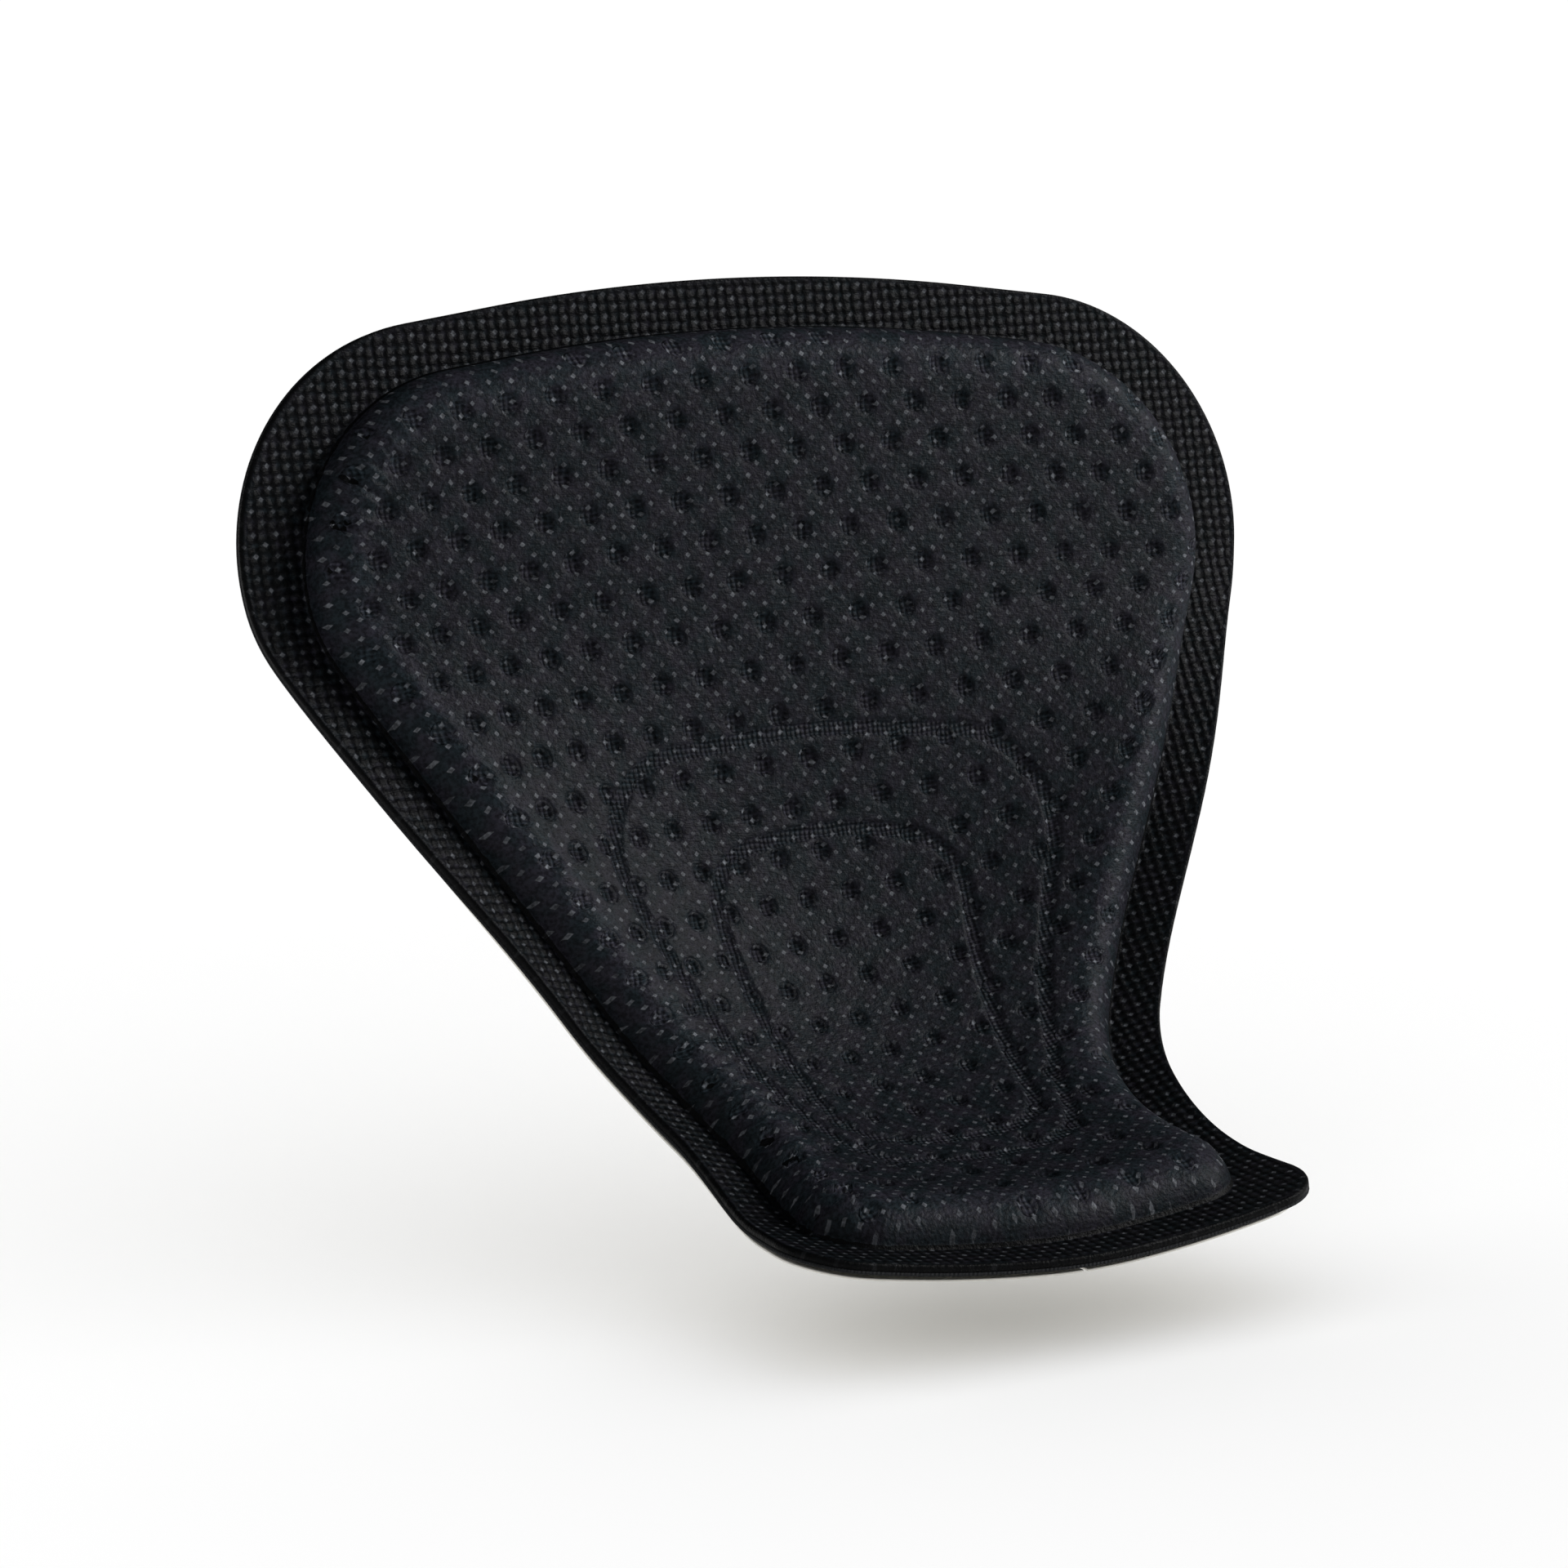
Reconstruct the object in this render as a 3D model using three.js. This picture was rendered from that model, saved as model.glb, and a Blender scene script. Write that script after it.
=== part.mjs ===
import * as THREE from 'three';
import { mergeVertices } from 'three/addons/utils/BufferGeometryUtils.js';

// A self-adhesive heel cushion pad: a soft sheet moulded to the back of a heel. A wide wall
// lies against the shoe's heel counter, narrows to a waist and curls forward into a lip under
// the heel. Millimetres, +Z up, -Y is the way the toes point, X runs left to right.
// The sheet is drawn flat first: u across from the middle line, v down from the top edge.
// Then it is bent, and each layer lies at its own height h on the heel's side of the sheet.

// The bend along the middle line, in degrees from vertical and millimetres of v.
const WALL_LEAN = 13.9;
const LIP_ANGLE = 87.4;
const BEND_START = 47.3;
const BEND_END = 113.7;

// The cup across: flat near the top edge, curved round the heel, flatter again at the lip.
const CUP_RADIUS = 78.5;
const CUP_START = 30;
const CUP_FULL = 74;
const LIP_CUP_RADIUS = 139;
const LIP_CUP_START = 90;
const LIP_CUP_FULL = 106.3;

// The flat outline's right half: straight sides that meet in rounded corners.
const CROWN_RADIUS = 200;
const TOP_CORNER_U = 65.4;
const TOP_CORNER_V = 8.6;
const TOP_CORNER_RADIUS = 24;
const WAIST_U = 26.2;
const WAIST_V = 90.4;
const WAIST_RADIUS = 41.3;
const LIP_CORNER_U = 28.4;
const LIP_CORNER_V = 116.9;
const LIP_CORNER_RADIUS = 6;
const PAD_LENGTH = 119.5;
const LIP_CROWN_RADIUS = 60;
// Lines drawn inside the outline, such as the foot of the cushion, turn no tighter than this.
const TIGHTEST_INNER_RADIUS = 6;

// The pressed edge and the rounded shoulder that the cushion rises through.
const FLANGE_WIDTH = 4.7;
const SHOULDER_WIDTH = 4.2;

// The two pressed grooves, each a closed loop with rounded corners, and their floor's width.
const OUTER_LOOP_TOP = 45;
const OUTER_LOOP_U = 28.6;
const OUTER_LOOP_LOW_U = 12;
const OUTER_LOOP_LENGTH = 56.5;
const INNER_LOOP_TOP = 54.8;
const INNER_LOOP_U = 15.2;
const INNER_LOOP_LOW_U = 11;
const INNER_LOOP_LENGTH = 42;
const LOOP_TOP_RADIUS = 14;
const LOOP_LOW_RADIUS = 8;
const GROOVE_WIDTH = 1.9;
const GROOVE_DEPTH = 1;

// The layers from back to front, and the glue line left between each pair.
const LINER_THICKNESS = 0.2;
const ADHESIVE_THICKNESS = 0.3;
const BASE_THICKNESS = 0.4;
const FOAM_THICKNESS = 4;
const FOAM_EDGE = 0.6;
const FACE_THICKNESS = 0.6;
const GLUE_LINE = 0.1;

// How far the adhesive stops short of the pad's edge, the liner's overhang and its slit.
const ADHESIVE_INSET = 1.8;
const LINER_OVERHANG = 0.8;
const LINER_SLIT = 0.5;

// The point on the middle line that the row's origin lies behind.
const ORIGIN_V = 52;

const deg = Math.PI / 180;

function ease(low, high, x) {
  const t = THREE.MathUtils.clamp((x - low) / (high - low), 0, 1);
  return t * t * (3 - 2 * t);
}

function leanAt(v) {
  return (WALL_LEAN + (LIP_ANGLE - WALL_LEAN) * ease(BEND_START, BEND_END, v)) * deg;
}

// The middle line in the YZ plane, summed from the top edge in short steps.
function spineAt(v) {
  const steps = Math.max(1, Math.ceil(Math.abs(v)));
  const dv = v / steps;
  let y = 0;
  let z = 0;
  for (let i = 0; i < steps; i += 1) {
    const lean = leanAt((i + 0.5) * dv);
    y -= Math.sin(lean) * dv;
    z -= Math.cos(lean) * dv;
  }
  return { y, z };
}

function cupAt(v) {
  const toLip = ease(LIP_CUP_START, LIP_CUP_FULL, v);
  return ease(CUP_START, CUP_FULL, v) * ((1 - toLip) / CUP_RADIUS + toLip / LIP_CUP_RADIUS);
}

function bentSheet(u, v) {
  const curve = cupAt(v);
  const angle = curve * u;
  const across = curve > 1e-6 ? Math.sin(angle) / curve : u;
  const rise = curve > 1e-6 ? (1 - Math.cos(angle)) / curve : 0;
  const lean = leanAt(v);
  const { y, z } = spineAt(v);
  return new THREE.Vector3(across, y - rise * Math.cos(lean), z + rise * Math.sin(lean));
}

function sheetNormal(u, v) {
  const d = 0.05;
  const alongU = bentSheet(u + d, v).sub(bentSheet(u - d, v));
  const alongV = bentSheet(u, v + d).sub(bentSheet(u, v - d));
  return alongV.cross(alongU).normalize();
}

// A point of the bent sheet raised by h along the sheet's own normal.
function raised(u, v, h) {
  return bentSheet(u, v).addScaledVector(sheetNormal(u, v), h);
}

const ORIGIN = raised(0, ORIGIN_V, -GLUE_LINE - ADHESIVE_THICKNESS);

// Corners run down the right half, from the top on the middle line to the bottom on it.
const outlineCorners = [
  { u: 0, v: 0, r: CROWN_RADIUS },
  { u: TOP_CORNER_U, v: TOP_CORNER_V, r: TOP_CORNER_RADIUS },
  { u: WAIST_U, v: WAIST_V, r: WAIST_RADIUS },
  { u: LIP_CORNER_U, v: LIP_CORNER_V, r: LIP_CORNER_RADIUS },
  { u: 0, v: PAD_LENGTH, r: LIP_CROWN_RADIUS },
];
const RAY_STEPS = { arcs: [2, 7, 3, 4, 1], sides: [3, 6, 2, 2] };
const OUTLINE_STEPS = { arcs: [4, 24, 12, 12, 4], sides: [1, 1, 1, 1] };

function loopCorners(top, halfWidth, lowHalfWidth, length) {
  return [
    { u: 0, v: top, r: 2 * halfWidth },
    { u: halfWidth, v: top + length * 0.06, r: LOOP_TOP_RADIUS },
    { u: lowHalfWidth, v: top + length * 0.96, r: LOOP_LOW_RADIUS },
    { u: 0, v: top + length, r: 3 * lowHalfWidth },
  ];
}
const outerLoop = loopCorners(OUTER_LOOP_TOP, OUTER_LOOP_U, OUTER_LOOP_LOW_U, OUTER_LOOP_LENGTH);
const innerLoop = loopCorners(INNER_LOOP_TOP, INNER_LOOP_U, INNER_LOOP_LOW_U, INNER_LOOP_LENGTH);
const LOOP_STEPS = { arcs: [4, 24, 16, 4], sides: [1, 1, 1] };

function mirrored(corner) {
  return { u: -corner.u, v: corner.v, r: corner.r };
}

// Moves each straight side inward by d and finds the corners where they meet again.
function insetCorners(corners, d) {
  const ring = [mirrored(corners[1]), ...corners, mirrored(corners[corners.length - 2])];
  const out = [];
  for (let i = 1; i < ring.length - 1; i += 1) {
    const here = new THREE.Vector2(ring[i].u, ring[i].v);
    const back = new THREE.Vector2(ring[i - 1].u, ring[i - 1].v).sub(here).normalize();
    const ahead = new THREE.Vector2(ring[i + 1].u, ring[i + 1].v).sub(here).normalize();
    const turn = back.x * ahead.y - back.y * ahead.x;
    const sum = back.clone().add(ahead);
    const slide = turn === 0 ? 0 : -d / turn;
    const r = Math.max(ring[i].r + (turn < 0 ? -d : d), TIGHTEST_INNER_RADIUS);
    out.push({ u: here.x + sum.x * slide, v: here.y + sum.y * slide, r });
  }
  return out;
}

// The tangent points, centre and angles of the arc that rounds one corner.
function fillet(before, corner, after) {
  const here = new THREE.Vector2(corner.u, corner.v);
  const back = new THREE.Vector2(before.u, before.v).sub(here);
  const ahead = new THREE.Vector2(after.u, after.v).sub(here);
  const limit = 0.46 * Math.min(back.length(), ahead.length());
  const half = back.angleTo(ahead) / 2;
  const radius = Math.min(corner.r, limit * Math.tan(half));
  const reach = radius / Math.tan(half);
  const start = here.clone().addScaledVector(back.normalize(), reach);
  const end = here.clone().addScaledVector(ahead.normalize(), reach);
  const middle = back.add(ahead).normalize();
  const centre = here.clone().addScaledVector(middle, radius / Math.sin(half));
  const from = start.clone().sub(centre).angle();
  let sweep = end.clone().sub(centre).angle() - from;
  sweep -= 2 * Math.PI * Math.round(sweep / (2 * Math.PI));
  return { start, end, centre, radius, from, sweep };
}

function arcPoint(arc, t) {
  const angle = arc.from + arc.sweep * t;
  const x = arc.centre.x + arc.radius * Math.cos(angle);
  return new THREE.Vector2(x, arc.centre.y + arc.radius * Math.sin(angle));
}

// The right half of a closed outline, as the given number of steps on each arc and side.
function halfOutline(corners, steps) {
  const last = corners.length - 1;
  const ring = [mirrored(corners[1]), ...corners, mirrored(corners[last - 1])];
  const arcs = corners.map((corner, i) => fillet(ring[i], corner, ring[i + 2]));
  const points = [];
  arcs.forEach((arc, i) => {
    const n = steps.arcs[i];
    for (let k = 0; k < n; k += 1) {
      const t = i === 0 ? 0.5 + 0.5 * (k / n) : i === last ? 0.5 * (k / n) : k / n;
      points.push(arcPoint(arc, t));
    }
    if (i < last) {
      const m = steps.sides[i];
      for (let k = 0; k < m; k += 1) {
        points.push(arc.end.clone().lerp(arcs[i + 1].start, k / m));
      }
    }
  });
  points.push(arcPoint(arcs[last], 0.5));
  points[0].x = 0;
  points[points.length - 1].x = 0;
  return points;
}

// Rays fan out from the heel's centre through points of the outline, and each ring has one
// point on each ray, so that neighbouring rings line up.
const heelCentre = new THREE.Vector2(0, INNER_LOOP_TOP + INNER_LOOP_LENGTH / 2);
const rays = halfOutline(outlineCorners, RAY_STEPS).map((p) => p.sub(heelCentre).normalize());

function onRay(path, ray) {
  for (let i = 0; i < path.length - 1; i += 1) {
    const a = path[i].clone().sub(heelCentre);
    const b = path[i + 1].clone().sub(heelCentre);
    const sideA = ray.x * a.y - ray.y * a.x;
    const sideB = ray.x * b.y - ray.y * b.x;
    const t = sideB - sideA < 1e-12 ? 0 : -sideA / (sideB - sideA);
    const hit = a.lerp(b, THREE.MathUtils.clamp(t, 0, 1));
    if (sideA <= 1e-9 && sideB >= -1e-9 && hit.dot(ray) > 0) {
      return hit.add(heelCentre);
    }
  }
  return path[path.length - 1].clone();
}

function ringOf(corners, inset, steps) {
  const path = halfOutline(insetCorners(corners, inset), steps);
  return rays.map((ray) => onRay(path, ray));
}

function outlineRing(inset) {
  return ringOf(outlineCorners, inset, OUTLINE_STEPS);
}

function loopRing(corners, inset) {
  return ringOf(corners, inset, LOOP_STEPS);
}

function blendRing(a, b, t) {
  return a.map((p, i) => p.clone().lerp(b[i], t));
}

// Rings from the edge to the middle, each with the foam's thickness there.
const SHOULDER_START = FLANGE_WIDTH + 0.5;
const PLATEAU_START = SHOULDER_START + SHOULDER_WIDTH;
const plateauRing = outlineRing(PLATEAU_START);
const HALF_GROOVE = GROOVE_WIDTH / 2;
const GROOVE_WALL = 0.5;
const outerMouth = loopRing(outerLoop, -HALF_GROOVE - GROOVE_WALL);
const innerInside = loopRing(innerLoop, HALF_GROOVE + GROOVE_WALL);
const FLOOR = FOAM_THICKNESS - GROOVE_DEPTH;

function grooveRings(corners) {
  return [
    { ring: loopRing(corners, -HALF_GROOVE - GROOVE_WALL), foam: FOAM_THICKNESS },
    { ring: loopRing(corners, -HALF_GROOVE), foam: FLOOR },
    { ring: loopRing(corners, HALF_GROOVE), foam: FLOOR, coarse: true },
    { ring: loopRing(corners, HALF_GROOVE + GROOVE_WALL), foam: FOAM_THICKNESS },
  ];
}

const LOW_SHOULDER = outlineRing(SHOULDER_START + SHOULDER_WIDTH * 0.3);
const HIGH_SHOULDER = outlineRing(SHOULDER_START + SHOULDER_WIDTH * 0.6);
const stations = [
  { ring: outlineRing(0), foam: 0, coarse: true },
  { ring: outlineRing(ADHESIVE_INSET), foam: 0, coarse: true },
  { ring: outlineRing(FLANGE_WIDTH), foam: 0, coarse: true },
  { ring: outlineRing(SHOULDER_START), foam: FOAM_EDGE, coarse: true },
  { ring: LOW_SHOULDER, foam: FOAM_THICKNESS * 0.6, coarse: true },
  { ring: HIGH_SHOULDER, foam: FOAM_THICKNESS * 0.88 },
  { ring: plateauRing, foam: FOAM_THICKNESS, coarse: true },
  { ring: blendRing(plateauRing, outerMouth, 0.5), foam: FOAM_THICKNESS, coarse: true },
  ...grooveRings(outerLoop),
  ...grooveRings(innerLoop),
  { ring: blendRing(innerInside, innerInside.map(() => heelCentre), 0.5), foam: FOAM_THICKNESS },
];
const ADHESIVE_FIRST = 1;
const FOAM_FIRST = 3;

const foamBottom = BASE_THICKNESS + GLUE_LINE;
const faceBottom = (s) => foamBottom + (s.foam > 0 ? s.foam + GLUE_LINE : 0);

// Both halves of a surface over a list of rings, closed by a fan at the heel's centre.
// side keeps one half (+1 or -1) or both (0), and slit moves the middle line off x = 0.
function skin(rings, height, centreHeight, side, slit) {
  const out = [];
  const put = (p, sign, h) => {
    const u = Math.abs(p.x) < 1e-9 ? slit : p.x;
    return raised(sign * u, p.y, h).sub(ORIGIN);
  };
  for (const sign of side === 0 ? [1, -1] : [side]) {
    const tri = (a, b, c) => out.push(...(sign > 0 ? [a, b, c] : [a, c, b]));
    const grid = rings.map((s) => s.ring.map((p) => put(p, sign, height(s))));
    const centre = put(heelCentre, sign, centreHeight);
    for (let i = 0; i < grid.length; i += 1) {
      const outer = grid[i];
      const inner = grid[i + 1];
      for (let k = 0; k < outer.length - 1; k += 1) {
        if (inner) {
          tri(outer[k], inner[k], inner[k + 1]);
          tri(outer[k], inner[k + 1], outer[k + 1]);
        } else {
          tri(outer[k], centre, outer[k + 1]);
        }
      }
    }
  }
  return out;
}

// The strip that joins the front skin to the back skin along one row of points.
function rim(front, back) {
  const out = [];
  for (let k = 0; k < front.length - 1; k += 1) {
    out.push(front[k], front[k + 1], back[k + 1]);
    out.push(front[k], back[k + 1], back[k]);
  }
  return out;
}

function flipped(points) {
  const out = [];
  for (let i = 0; i < points.length; i += 3) {
    out.push(points[i], points[i + 2], points[i + 1]);
  }
  return out;
}

function edgeRow(ring, sign, h, slit) {
  return ring.map((p) => {
    const u = Math.abs(p.x) < 1e-9 ? slit : p.x;
    return raised(sign * u, p.y, h).sub(ORIGIN);
  });
}

function solid(points) {
  const geometry = new THREE.BufferGeometry();
  const flat = points.flatMap((p) => [p.x, p.y, p.z]);
  geometry.setAttribute('position', new THREE.Float32BufferAttribute(flat, 3));
  const merged = mergeVertices(geometry, 1e-4);
  merged.computeVertexNormals();
  return merged;
}

// A layer between two heights over the whole outline of its first ring.
function wholeLayer(frontRings, backRings, frontHeight, backHeight) {
  const centre = { foam: FOAM_THICKNESS };
  const front = skin(frontRings, frontHeight, frontHeight(centre), 0, 0);
  const back = skin(backRings, backHeight, backHeight(centre), 0, 0);
  const sides = [1, -1].flatMap((sign) => {
    const row = frontRings[0].ring;
    const a = edgeRow(row, sign, frontHeight(frontRings[0]), 0);
    const b = edgeRow(row, sign, backHeight(backRings[0]), 0);
    return sign > 0 ? rim(a, b) : flipped(rim(a, b));
  });
  return solid([...front, ...flipped(back), ...sides]);
}

// One half of a layer, cut along the middle line with half the slit's width taken off.
function halfLayer(rings, top, bottom, sign, slit) {
  const front = skin(rings, () => top, top, sign, slit);
  const back = skin(rings, () => bottom, bottom, sign, slit);
  const last = rings[0].ring.length - 1;
  const down = rings.map((s) => s.ring[0]);
  const up = rings.map((s) => s.ring[last]);
  const cut = [...down, heelCentre, ...up.reverse()];
  const edge = rings[0].ring;
  const outer = rim(edgeRow(edge, sign, top, slit), edgeRow(edge, sign, bottom, slit));
  const inner = rim(edgeRow(cut, sign, bottom, slit), edgeRow(cut, sign, top, slit));
  const sides = [...outer, ...inner];
  return solid([...front, ...flipped(back), ...(sign > 0 ? sides : flipped(sides))]);
}

function part(name, geometry, color, roughness) {
  const material = new THREE.MeshStandardMaterial({ color, roughness, metalness: 0 });
  const mesh = new THREE.Mesh(geometry, material);
  mesh.name = name;
  return mesh;
}

const pad = new THREE.Group();
const coarse = stations.filter((s) => s.coarse);

// The knit cover, one piece over the cushion and out over the pressed edge.
const faceTop = (s) => faceBottom(s) + FACE_THICKNESS;
pad.add(part('face_fabric', wholeLayer(stations, stations, faceTop, faceBottom), 0x202325, 0.85));

// The foam cushion, thin at its edge and pressed in along both grooves.
const foamTop = (s) => foamBottom + s.foam;
const foamFront = stations.slice(FOAM_FIRST);
const foamBack = coarse.slice(FOAM_FIRST);
pad.add(part('foam_cushion', wholeLayer(foamFront, foamBack, foamTop, () => foamBottom), 0x2b2d30, 0.95));

// The base cloth that the cover is sealed to all round.
pad.add(part('base_cloth', wholeLayer(coarse, coarse, () => BASE_THICKNESS, () => 0), 0x1a1b1d, 0.9));

// The double-sided adhesive sheet, which stops short of the edge.
const adhesiveRings = coarse.slice(ADHESIVE_FIRST);
const adhesiveTop = () => -GLUE_LINE;
const adhesiveBottom = () => -GLUE_LINE - ADHESIVE_THICKNESS;
const adhesive = wholeLayer(adhesiveRings, adhesiveRings, adhesiveTop, adhesiveBottom);
pad.add(part('adhesive_sheet', adhesive, 0xd8d4c4, 0.4));

// The release liner in two halves with a slit down the middle, each peeled off by itself.
const linerRings = [{ ring: outlineRing(ADHESIVE_INSET - LINER_OVERHANG) }, ...adhesiveRings];
const linerTop = adhesiveBottom() - GLUE_LINE;
const linerBottom = linerTop - LINER_THICKNESS;
for (const [name, sign] of [['liner_right', 1], ['liner_left', -1]]) {
  pad.add(part(name, halfLayer(linerRings, linerTop, linerBottom, sign, LINER_SLIT / 2), 0xe9e6da, 0.5));
}

export default pad;
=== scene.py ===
import math

import bpy
import numpy as np
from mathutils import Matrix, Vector
from mathutils.geometry import delaunay_2d_cdt
from mathutils.kdtree import KDTree


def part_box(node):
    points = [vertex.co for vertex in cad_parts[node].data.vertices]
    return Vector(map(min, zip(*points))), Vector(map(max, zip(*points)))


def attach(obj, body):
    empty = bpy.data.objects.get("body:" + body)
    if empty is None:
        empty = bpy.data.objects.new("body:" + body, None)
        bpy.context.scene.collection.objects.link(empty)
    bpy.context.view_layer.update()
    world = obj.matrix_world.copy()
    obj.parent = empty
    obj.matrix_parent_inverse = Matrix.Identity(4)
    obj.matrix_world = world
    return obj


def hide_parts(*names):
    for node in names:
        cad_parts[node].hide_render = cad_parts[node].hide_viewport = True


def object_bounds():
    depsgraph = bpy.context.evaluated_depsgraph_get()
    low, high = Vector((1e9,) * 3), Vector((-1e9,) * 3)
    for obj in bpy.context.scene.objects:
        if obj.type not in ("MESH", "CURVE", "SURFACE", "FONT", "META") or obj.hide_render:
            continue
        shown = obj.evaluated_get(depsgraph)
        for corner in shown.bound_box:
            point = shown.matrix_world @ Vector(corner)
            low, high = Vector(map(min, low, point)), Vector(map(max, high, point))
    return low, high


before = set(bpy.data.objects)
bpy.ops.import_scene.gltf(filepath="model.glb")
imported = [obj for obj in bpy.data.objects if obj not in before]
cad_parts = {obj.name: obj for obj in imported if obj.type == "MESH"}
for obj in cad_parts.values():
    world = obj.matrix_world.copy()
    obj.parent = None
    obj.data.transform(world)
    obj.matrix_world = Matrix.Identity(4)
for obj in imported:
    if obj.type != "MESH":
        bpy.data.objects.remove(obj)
cad_low, cad_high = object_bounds()

# ---- Base cloth -----------------------------------------------------------------------------
# A thin black tricot, die-cut to the pad's outline. It backs the foam, shows as the lowest line
# of the pad's cut edge, and takes its heel shape from the mould that all layers are pressed in.

# The pad is drawn flat in millimetres, u across from the middle and v down from the top edge.
wall_lean, lip_angle = math.radians(13.9), math.radians(87.4)
bend_start, bend_end = 47.3, 113.7
heel_cup, heel_cup_start, heel_cup_full = 78.5, 30, 74
lip_cup, lip_cup_start, lip_cup_full = 139, 90, 106.3
pad_corners = [(0, 0, 200), (65.4, 8.6, 24), (26.2, 90.4, 41.3), (28.4, 116.9, 6), (0, 119.5, 60)]
heel_centre_v = 75.8
base_thickness, base_length = 0.4, 117.5
base_rim_points = 400
cut_edge_round = 0.08


def ease(low, high, x):
    t = np.clip((x - low) / (high - low), 0, 1)
    return t * t * (3 - 2 * t)


def midpoints(values):
    return (values[1:] + values[:-1]) / 2


# The mould's middle line: how far forward (y) and down (z) each v lies.
spine_v = np.linspace(0, 130, 1041)
spine_lean = wall_lean + (lip_angle - wall_lean) * ease(bend_start, bend_end, spine_v)
spine_step = np.diff(spine_v)
spine_y = np.concatenate([[0], np.cumsum(-midpoints(np.sin(spine_lean)) * spine_step)])
spine_z = np.concatenate([[0], np.cumsum(-midpoints(np.cos(spine_lean)) * spine_step)])


def on_mould(u, v):
    """Where points of the flat sheet lie once it is bent down the middle and cupped across."""
    lean = np.interp(v, spine_v, spine_lean)
    to_lip = ease(lip_cup_start, lip_cup_full, v)
    cup = ease(heel_cup_start, heel_cup_full, v) * ((1 - to_lip) / heel_cup + to_lip / lip_cup)
    cup = np.maximum(cup, 1e-6)
    rise = (1 - np.cos(cup * u)) / cup
    y = np.interp(v, spine_v, spine_y) - rise * np.cos(lean)
    z = np.interp(v, spine_v, spine_z) + rise * np.sin(lean)
    return np.stack([np.sin(cup * u) / cup, y, z], axis=1)


def raised(u, v, h):
    """Points at height h above the sheet, on the heel's side of it."""
    along_u = on_mould(u + 0.05, v) - on_mould(u - 0.05, v)
    along_v = on_mould(u, v + 0.05) - on_mould(u, v - 0.05)
    out = np.cross(along_v, along_u)
    out /= np.linalg.norm(out, axis=1)[:, None]
    return on_mould(u, v) + out * np.asarray(h).reshape(-1, 1)


def inset_corners(corners, d):
    """The corners of an outline after each straight side moves inward by d."""
    ends = [(-corners[1][0], *corners[1][1:])] + corners + [(-corners[-2][0], *corners[-2][1:])]
    moved = []
    for before, here, after in zip(ends, ends[1:], ends[2:]):
        at = np.array(here[:2], float)
        back = np.array(before[:2]) - at
        ahead = np.array(after[:2]) - at
        back /= np.linalg.norm(back)
        ahead /= np.linalg.norm(ahead)
        turn = back[0] * ahead[1] - back[1] * ahead[0]
        slide = 0 if turn == 0 else -d / turn
        at = at + (back + ahead) * slide
        moved.append((at[0], at[1], max(here[2] + (-d if turn < 0 else d), 6)))
    return moved


def right_half(corners, d=0.0):
    """The right half of an outline inset by d, from top to bottom, as closely spaced points."""
    c = inset_corners(corners, d)
    ends = [(-c[1][0], *c[1][1:])] + c + [(-c[-2][0], *c[-2][1:])]
    line = []
    for i in range(1, len(ends) - 1):
        at = np.array(ends[i][:2])
        back = np.array(ends[i - 1][:2]) - at
        ahead = np.array(ends[i + 1][:2]) - at
        sides = np.linalg.norm(back), np.linalg.norm(ahead)
        back, ahead = back / sides[0], ahead / sides[1]
        half = math.acos(np.clip(back @ ahead, -1, 1)) / 2
        radius = min(ends[i][2], 0.46 * min(sides) * math.tan(half))
        start = at + back * radius / math.tan(half)
        stop = at + ahead * radius / math.tan(half)
        towards = (back + ahead) / np.linalg.norm(back + ahead)
        centre = at + towards * radius / math.sin(half)
        a0 = math.atan2(*(start - centre)[::-1])
        sweep = math.atan2(*(stop - centre)[::-1]) - a0
        sweep -= 2 * math.pi * round(sweep / (2 * math.pi))
        t0 = 0.5 if i == 1 else 0.0
        t1 = 0.5 if i == len(ends) - 2 else 1.0
        for t in np.linspace(t0, t1, 40):
            a = a0 + sweep * t
            line.append((centre[0] + radius * math.cos(a), centre[1] + radius * math.sin(a)))
    line = np.array(line)
    line[0, 0] = line[-1, 0] = 0
    return line


def reach(line, theta):
    """How far a line lies from the heel's centre, at angles turned from straight up."""
    dense = np.concatenate([np.linspace(a, b, 24) for a, b in zip(line[:-1], line[1:])])
    angle = np.arctan2(np.abs(dense[:, 0]), heel_centre_v - dense[:, 1])
    far = np.hypot(dense[:, 0], heel_centre_v - dense[:, 1])
    order = np.argsort(angle, kind="stable")
    return np.interp(np.abs(theta), angle[order], far[order])


def ring_at(line, theta):
    r = reach(line, theta)
    return np.stack([r * np.sin(theta), heel_centre_v - r * np.cos(theta)], axis=1)


def even_angles(n):
    """n directions from the heel's centre, evenly spaced along the pad's edge."""
    line = right_half(pad_corners)
    length = np.concatenate([[0], np.cumsum(np.linalg.norm(np.diff(line, axis=0), axis=1))])
    at = np.linspace(0, length[-1], n // 2 + 1)
    u, v = np.interp(at, length, line[:, 0]), np.interp(at, length, line[:, 1])
    right = np.arctan2(u, heel_centre_v - v)
    right[0], right[-1] = 0, math.pi
    return np.concatenate([right, -right[-2:0:-1]])


def ring_faces(first, second, n, m):
    """Faces between a ring of n points and the next one in, which has n or n / 2."""
    if n == m:
        following = [(k + 1) % n for k in range(n)]
        return [(first + k, first + j, second + j, second + k) for k, j in enumerate(following)]
    faces = []
    for k in range(m):
        a, b, c = first + 2 * k, first + 2 * k + 1, first + (2 * k + 2) % n
        p, q = second + k, second + (k + 1) % m
        faces += [(a, b, p), (b, q, p), (b, c, q)]
    return faces


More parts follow.
